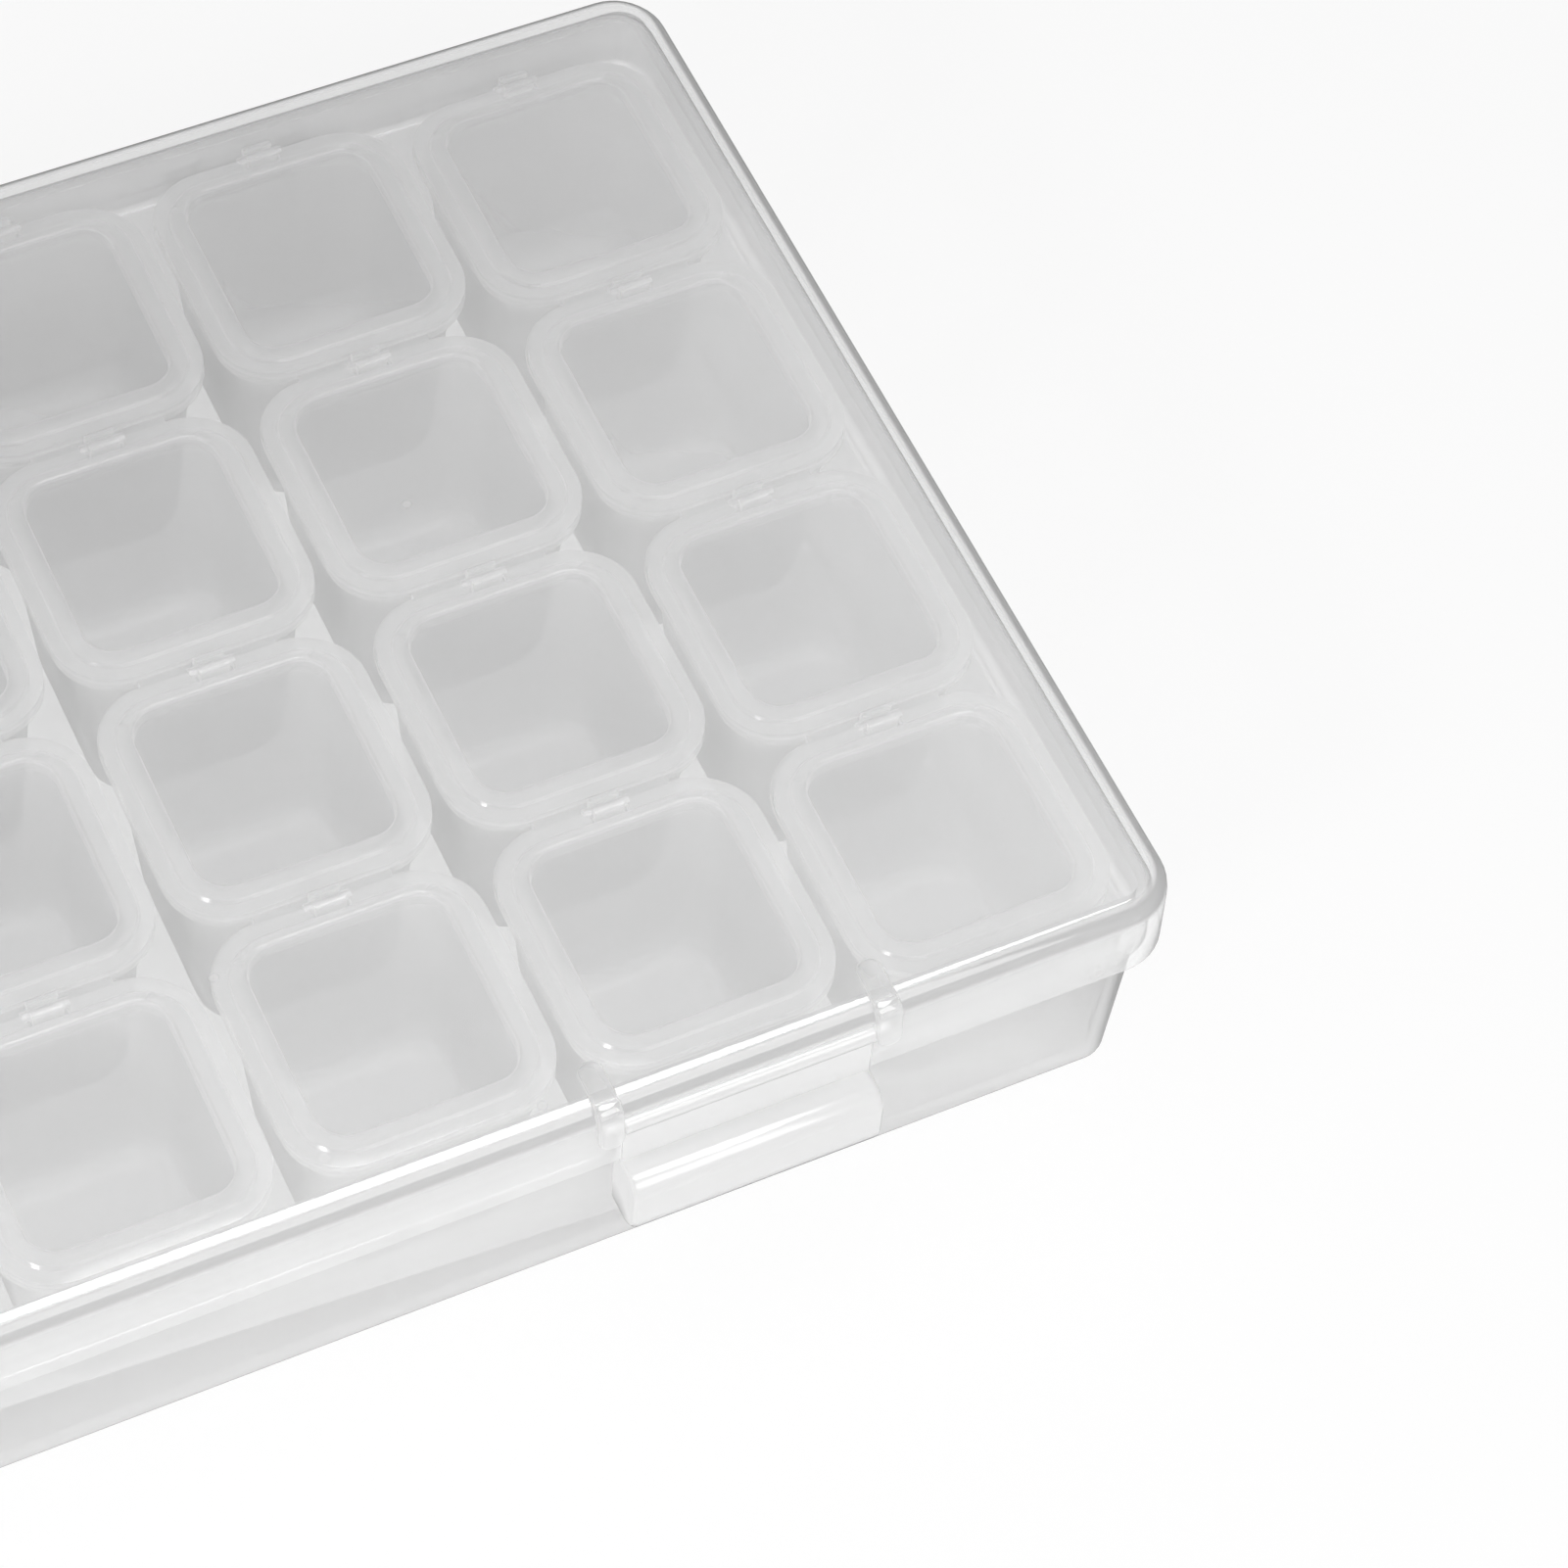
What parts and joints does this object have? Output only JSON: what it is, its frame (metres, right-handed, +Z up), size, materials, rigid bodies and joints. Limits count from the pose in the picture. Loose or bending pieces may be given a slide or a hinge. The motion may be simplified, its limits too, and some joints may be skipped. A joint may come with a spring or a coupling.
{
  "type": "compartment box",
  "caption": "Clear shallow hinged case with two front latches, holding strips of small tapered cups, each cup with its own hinged lid.",
  "frame": {"origin": "centre of the underside of the base tray", "axes": "+X along the long side to the right, +Y from the latches to the hinge, +Z up"},
  "size_m": [0.175, 0.1129, 0.0264],
  "materials": {
    "case_plastic": "clear moulded polypropylene, gloss",
    "latch_plastic": "translucent moulded polypropylene, satin gloss",
    "cup_plastic": "translucent moulded polypropylene, satin",
    "cell_lid_plastic": "translucent moulded polypropylene, satin gloss"
  },
  "bodies": {
    "case": {"base_tray": "case_plastic", "strip_1": "cup_plastic", "strip_2": "cup_plastic", "strip_3": "cup_plastic", "strip_4": "cup_plastic", "strip_5": "cup_plastic", "strip_6": "cup_plastic", "strip_7": "cup_plastic"},
    "outer_lid": {"outer_lid": "case_plastic"},
    "latch_left": {"latch_left": "latch_plastic"},
    "latch_right": {"latch_right": "latch_plastic"},
    "cell_lid_1_1": {"cell_lid_1_1": "cell_lid_plastic"},
    "cell_lid_1_2": {"cell_lid_1_2": "cell_lid_plastic"},
    "cell_lid_1_3": {"cell_lid_1_3": "cell_lid_plastic"},
    "cell_lid_1_4": {"cell_lid_1_4": "cell_lid_plastic"},
    "cell_lid_2_1": {"cell_lid_2_1": "cell_lid_plastic"},
    "cell_lid_2_2": {"cell_lid_2_2": "cell_lid_plastic"},
    "cell_lid_2_3": {"cell_lid_2_3": "cell_lid_plastic"},
    "cell_lid_2_4": {"cell_lid_2_4": "cell_lid_plastic"},
    "cell_lid_3_1": {"cell_lid_3_1": "cell_lid_plastic"},
    "cell_lid_3_2": {"cell_lid_3_2": "cell_lid_plastic"},
    "cell_lid_3_3": {"cell_lid_3_3": "cell_lid_plastic"},
    "cell_lid_3_4": {"cell_lid_3_4": "cell_lid_plastic"},
    "cell_lid_4_1": {"cell_lid_4_1": "cell_lid_plastic"},
    "cell_lid_4_2": {"cell_lid_4_2": "cell_lid_plastic"},
    "cell_lid_4_3": {"cell_lid_4_3": "cell_lid_plastic"},
    "cell_lid_4_4": {"cell_lid_4_4": "cell_lid_plastic"},
    "cell_lid_5_1": {"cell_lid_5_1": "cell_lid_plastic"},
    "cell_lid_5_2": {"cell_lid_5_2": "cell_lid_plastic"},
    "cell_lid_5_3": {"cell_lid_5_3": "cell_lid_plastic"},
    "cell_lid_5_4": {"cell_lid_5_4": "cell_lid_plastic"},
    "cell_lid_6_1": {"cell_lid_6_1": "cell_lid_plastic"},
    "cell_lid_6_2": {"cell_lid_6_2": "cell_lid_plastic"},
    "cell_lid_6_3": {"cell_lid_6_3": "cell_lid_plastic"},
    "cell_lid_6_4": {"cell_lid_6_4": "cell_lid_plastic"},
    "cell_lid_7_1": {"cell_lid_7_1": "cell_lid_plastic"},
    "cell_lid_7_2": {"cell_lid_7_2": "cell_lid_plastic"},
    "cell_lid_7_3": {"cell_lid_7_3": "cell_lid_plastic"},
    "cell_lid_7_4": {"cell_lid_7_4": "cell_lid_plastic"}
  },
  "joints": [
    {"name": "outer_lid_hinge", "type": "hinge", "parent": "case", "child": "outer_lid", "pos_m": [0, 0.05435, 0.016], "axis": [-1, 0, 0], "range_deg": [0, 180]},
    {"name": "latch_left_pivot", "type": "hinge", "parent": "outer_lid", "child": "latch_left", "pos_m": [-0.04839, -0.0534, 0.0229], "axis": [-1, 0, 0], "range_deg": [0, 90]},
    {"name": "latch_right_pivot", "type": "hinge", "parent": "outer_lid", "child": "latch_right", "pos_m": [0.04839, -0.0534, 0.0229], "axis": [-1, 0, 0], "range_deg": [0, 90]},
    {"name": "cell_lid_1_1_hinge", "type": "hinge", "parent": "case", "child": "cell_lid_1_1", "pos_m": [-0.07258, -0.02595, 0.02325], "axis": [-1, 0, 0], "range_deg": [0, 100]},
    {"name": "cell_lid_1_2_hinge", "type": "hinge", "parent": "case", "child": "cell_lid_1_2", "pos_m": [-0.07258, -0.00092, 0.02325], "axis": [-1, 0, 0], "range_deg": [0, 100]},
    {"name": "cell_lid_1_3_hinge", "type": "hinge", "parent": "case", "child": "cell_lid_1_3", "pos_m": [-0.07258, 0.02412, 0.02325], "axis": [-1, 0, 0], "range_deg": [0, 100]},
    {"name": "cell_lid_1_4_hinge", "type": "hinge", "parent": "case", "child": "cell_lid_1_4", "pos_m": [-0.07258, 0.04915, 0.02325], "axis": [-1, 0, 0], "range_deg": [0, 100]},
    {"name": "cell_lid_2_1_hinge", "type": "hinge", "parent": "case", "child": "cell_lid_2_1", "pos_m": [-0.04839, -0.02646, 0.02325], "axis": [-1, 0, 0], "range_deg": [0, 100]},
    {"name": "cell_lid_2_2_hinge", "type": "hinge", "parent": "case", "child": "cell_lid_2_2", "pos_m": [-0.04839, -0.00143, 0.02325], "axis": [-1, 0, 0], "range_deg": [0, 100]},
    {"name": "cell_lid_2_3_hinge", "type": "hinge", "parent": "case", "child": "cell_lid_2_3", "pos_m": [-0.04839, 0.02361, 0.02325], "axis": [-1, 0, 0], "range_deg": [0, 100]},
    {"name": "cell_lid_2_4_hinge", "type": "hinge", "parent": "case", "child": "cell_lid_2_4", "pos_m": [-0.04839, 0.04864, 0.02325], "axis": [-1, 0, 0], "range_deg": [0, 100]},
    {"name": "cell_lid_3_1_hinge", "type": "hinge", "parent": "case", "child": "cell_lid_3_1", "pos_m": [-0.0242, -0.02569, 0.02325], "axis": [-1, 0, 0], "range_deg": [0, 100]},
    {"name": "cell_lid_3_2_hinge", "type": "hinge", "parent": "case", "child": "cell_lid_3_2", "pos_m": [-0.0242, -0.00066, 0.02325], "axis": [-1, 0, 0], "range_deg": [0, 100]},
    {"name": "cell_lid_3_3_hinge", "type": "hinge", "parent": "case", "child": "cell_lid_3_3", "pos_m": [-0.0242, 0.02437, 0.02325], "axis": [-1, 0, 0], "range_deg": [0, 100]},
    {"name": "cell_lid_3_4_hinge", "type": "hinge", "parent": "case", "child": "cell_lid_3_4", "pos_m": [-0.0242, 0.0494, 0.02325], "axis": [-1, 0, 0], "range_deg": [0, 100]},
    {"name": "cell_lid_4_1_hinge", "type": "hinge", "parent": "case", "child": "cell_lid_4_1", "pos_m": [0, -0.0262, 0.02325], "axis": [-1, 0, 0], "range_deg": [0, 100]},
    {"name": "cell_lid_4_2_hinge", "type": "hinge", "parent": "case", "child": "cell_lid_4_2", "pos_m": [0, -0.00117, 0.02325], "axis": [-1, 0, 0], "range_deg": [0, 100]},
    {"name": "cell_lid_4_3_hinge", "type": "hinge", "parent": "case", "child": "cell_lid_4_3", "pos_m": [0, 0.02386, 0.02325], "axis": [-1, 0, 0], "range_deg": [0, 100]},
    {"name": "cell_lid_4_4_hinge", "type": "hinge", "parent": "case", "child": "cell_lid_4_4", "pos_m": [0, 0.04889, 0.02325], "axis": [-1, 0, 0], "range_deg": [0, 100]},
    {"name": "cell_lid_5_1_hinge", "type": "hinge", "parent": "case", "child": "cell_lid_5_1", "pos_m": [0.0242, -0.02544, 0.02325], "axis": [-1, 0, 0], "range_deg": [0, 100]},
    {"name": "cell_lid_5_2_hinge", "type": "hinge", "parent": "case", "child": "cell_lid_5_2", "pos_m": [0.0242, -0.0004, 0.02325], "axis": [-1, 0, 0], "range_deg": [0, 100]},
    {"name": "cell_lid_5_3_hinge", "type": "hinge", "parent": "case", "child": "cell_lid_5_3", "pos_m": [0.0242, 0.02463, 0.02325], "axis": [-1, 0, 0], "range_deg": [0, 100]},
    {"name": "cell_lid_5_4_hinge", "type": "hinge", "parent": "case", "child": "cell_lid_5_4", "pos_m": [0.0242, 0.04966, 0.02325], "axis": [-1, 0, 0], "range_deg": [0, 100]},
    {"name": "cell_lid_6_1_hinge", "type": "hinge", "parent": "case", "child": "cell_lid_6_1", "pos_m": [0.04839, -0.02578, 0.02325], "axis": [-1, 0, 0], "range_deg": [0, 100]},
    {"name": "cell_lid_6_2_hinge", "type": "hinge", "parent": "case", "child": "cell_lid_6_2", "pos_m": [0.04839, -0.00075, 0.02325], "axis": [-1, 0, 0], "range_deg": [0, 100]},
    {"name": "cell_lid_6_3_hinge", "type": "hinge", "parent": "case", "child": "cell_lid_6_3", "pos_m": [0.04839, 0.02429, 0.02325], "axis": [-1, 0, 0], "range_deg": [0, 100]},
    {"name": "cell_lid_6_4_hinge", "type": "hinge", "parent": "case", "child": "cell_lid_6_4", "pos_m": [0.04839, 0.04932, 0.02325], "axis": [-1, 0, 0], "range_deg": [0, 100]},
    {"name": "cell_lid_7_1_hinge", "type": "hinge", "parent": "case", "child": "cell_lid_7_1", "pos_m": [0.07258, -0.02671, 0.02325], "axis": [-1, 0, 0], "range_deg": [0, 100]},
    {"name": "cell_lid_7_2_hinge", "type": "hinge", "parent": "case", "child": "cell_lid_7_2", "pos_m": [0.07258, -0.00168, 0.02325], "axis": [-1, 0, 0], "range_deg": [0, 100]},
    {"name": "cell_lid_7_3_hinge", "type": "hinge", "parent": "case", "child": "cell_lid_7_3", "pos_m": [0.07258, 0.02335, 0.02325], "axis": [-1, 0, 0], "range_deg": [0, 100]},
    {"name": "cell_lid_7_4_hinge", "type": "hinge", "parent": "case", "child": "cell_lid_7_4", "pos_m": [0.07258, 0.04838, 0.02325], "axis": [-1, 0, 0], "range_deg": [0, 100]}
  ],
  "couplings": [
    {"joint": "cell_lid_1_1_hinge", "follows": "outer_lid_hinge", "ratio": 0.55556},
    {"joint": "cell_lid_1_2_hinge", "follows": "outer_lid_hinge", "ratio": 0.55556},
    {"joint": "cell_lid_1_3_hinge", "follows": "outer_lid_hinge", "ratio": 0.55556},
    {"joint": "cell_lid_1_4_hinge", "follows": "outer_lid_hinge", "ratio": 0.55556},
    {"joint": "cell_lid_2_1_hinge", "follows": "outer_lid_hinge", "ratio": 0.55556},
    {"joint": "cell_lid_2_2_hinge", "follows": "outer_lid_hinge", "ratio": 0.55556},
    {"joint": "cell_lid_2_3_hinge", "follows": "outer_lid_hinge", "ratio": 0.55556},
    {"joint": "cell_lid_2_4_hinge", "follows": "outer_lid_hinge", "ratio": 0.55556},
    {"joint": "cell_lid_3_1_hinge", "follows": "outer_lid_hinge", "ratio": 0.55556},
    {"joint": "cell_lid_3_2_hinge", "follows": "outer_lid_hinge", "ratio": 0.55556},
    {"joint": "cell_lid_3_3_hinge", "follows": "outer_lid_hinge", "ratio": 0.55556},
    {"joint": "cell_lid_3_4_hinge", "follows": "outer_lid_hinge", "ratio": 0.55556},
    {"joint": "cell_lid_4_1_hinge", "follows": "outer_lid_hinge", "ratio": 0.55556},
    {"joint": "cell_lid_4_2_hinge", "follows": "outer_lid_hinge", "ratio": 0.55556},
    {"joint": "cell_lid_4_3_hinge", "follows": "outer_lid_hinge", "ratio": 0.55556},
    {"joint": "cell_lid_4_4_hinge", "follows": "outer_lid_hinge", "ratio": 0.55556},
    {"joint": "cell_lid_5_1_hinge", "follows": "outer_lid_hinge", "ratio": 0.55556},
    {"joint": "cell_lid_5_2_hinge", "follows": "outer_lid_hinge", "ratio": 0.55556},
    {"joint": "cell_lid_5_3_hinge", "follows": "outer_lid_hinge", "ratio": 0.55556},
    {"joint": "cell_lid_5_4_hinge", "follows": "outer_lid_hinge", "ratio": 0.55556},
    {"joint": "cell_lid_6_1_hinge", "follows": "outer_lid_hinge", "ratio": 0.55556},
    {"joint": "cell_lid_6_2_hinge", "follows": "outer_lid_hinge", "ratio": 0.55556},
    {"joint": "cell_lid_6_3_hinge", "follows": "outer_lid_hinge", "ratio": 0.55556},
    {"joint": "cell_lid_6_4_hinge", "follows": "outer_lid_hinge", "ratio": 0.55556},
    {"joint": "cell_lid_7_1_hinge", "follows": "outer_lid_hinge", "ratio": 0.55556},
    {"joint": "cell_lid_7_2_hinge", "follows": "outer_lid_hinge", "ratio": 0.55556},
    {"joint": "cell_lid_7_3_hinge", "follows": "outer_lid_hinge", "ratio": 0.55556},
    {"joint": "cell_lid_7_4_hinge", "follows": "outer_lid_hinge", "ratio": 0.55556}
  ]
}
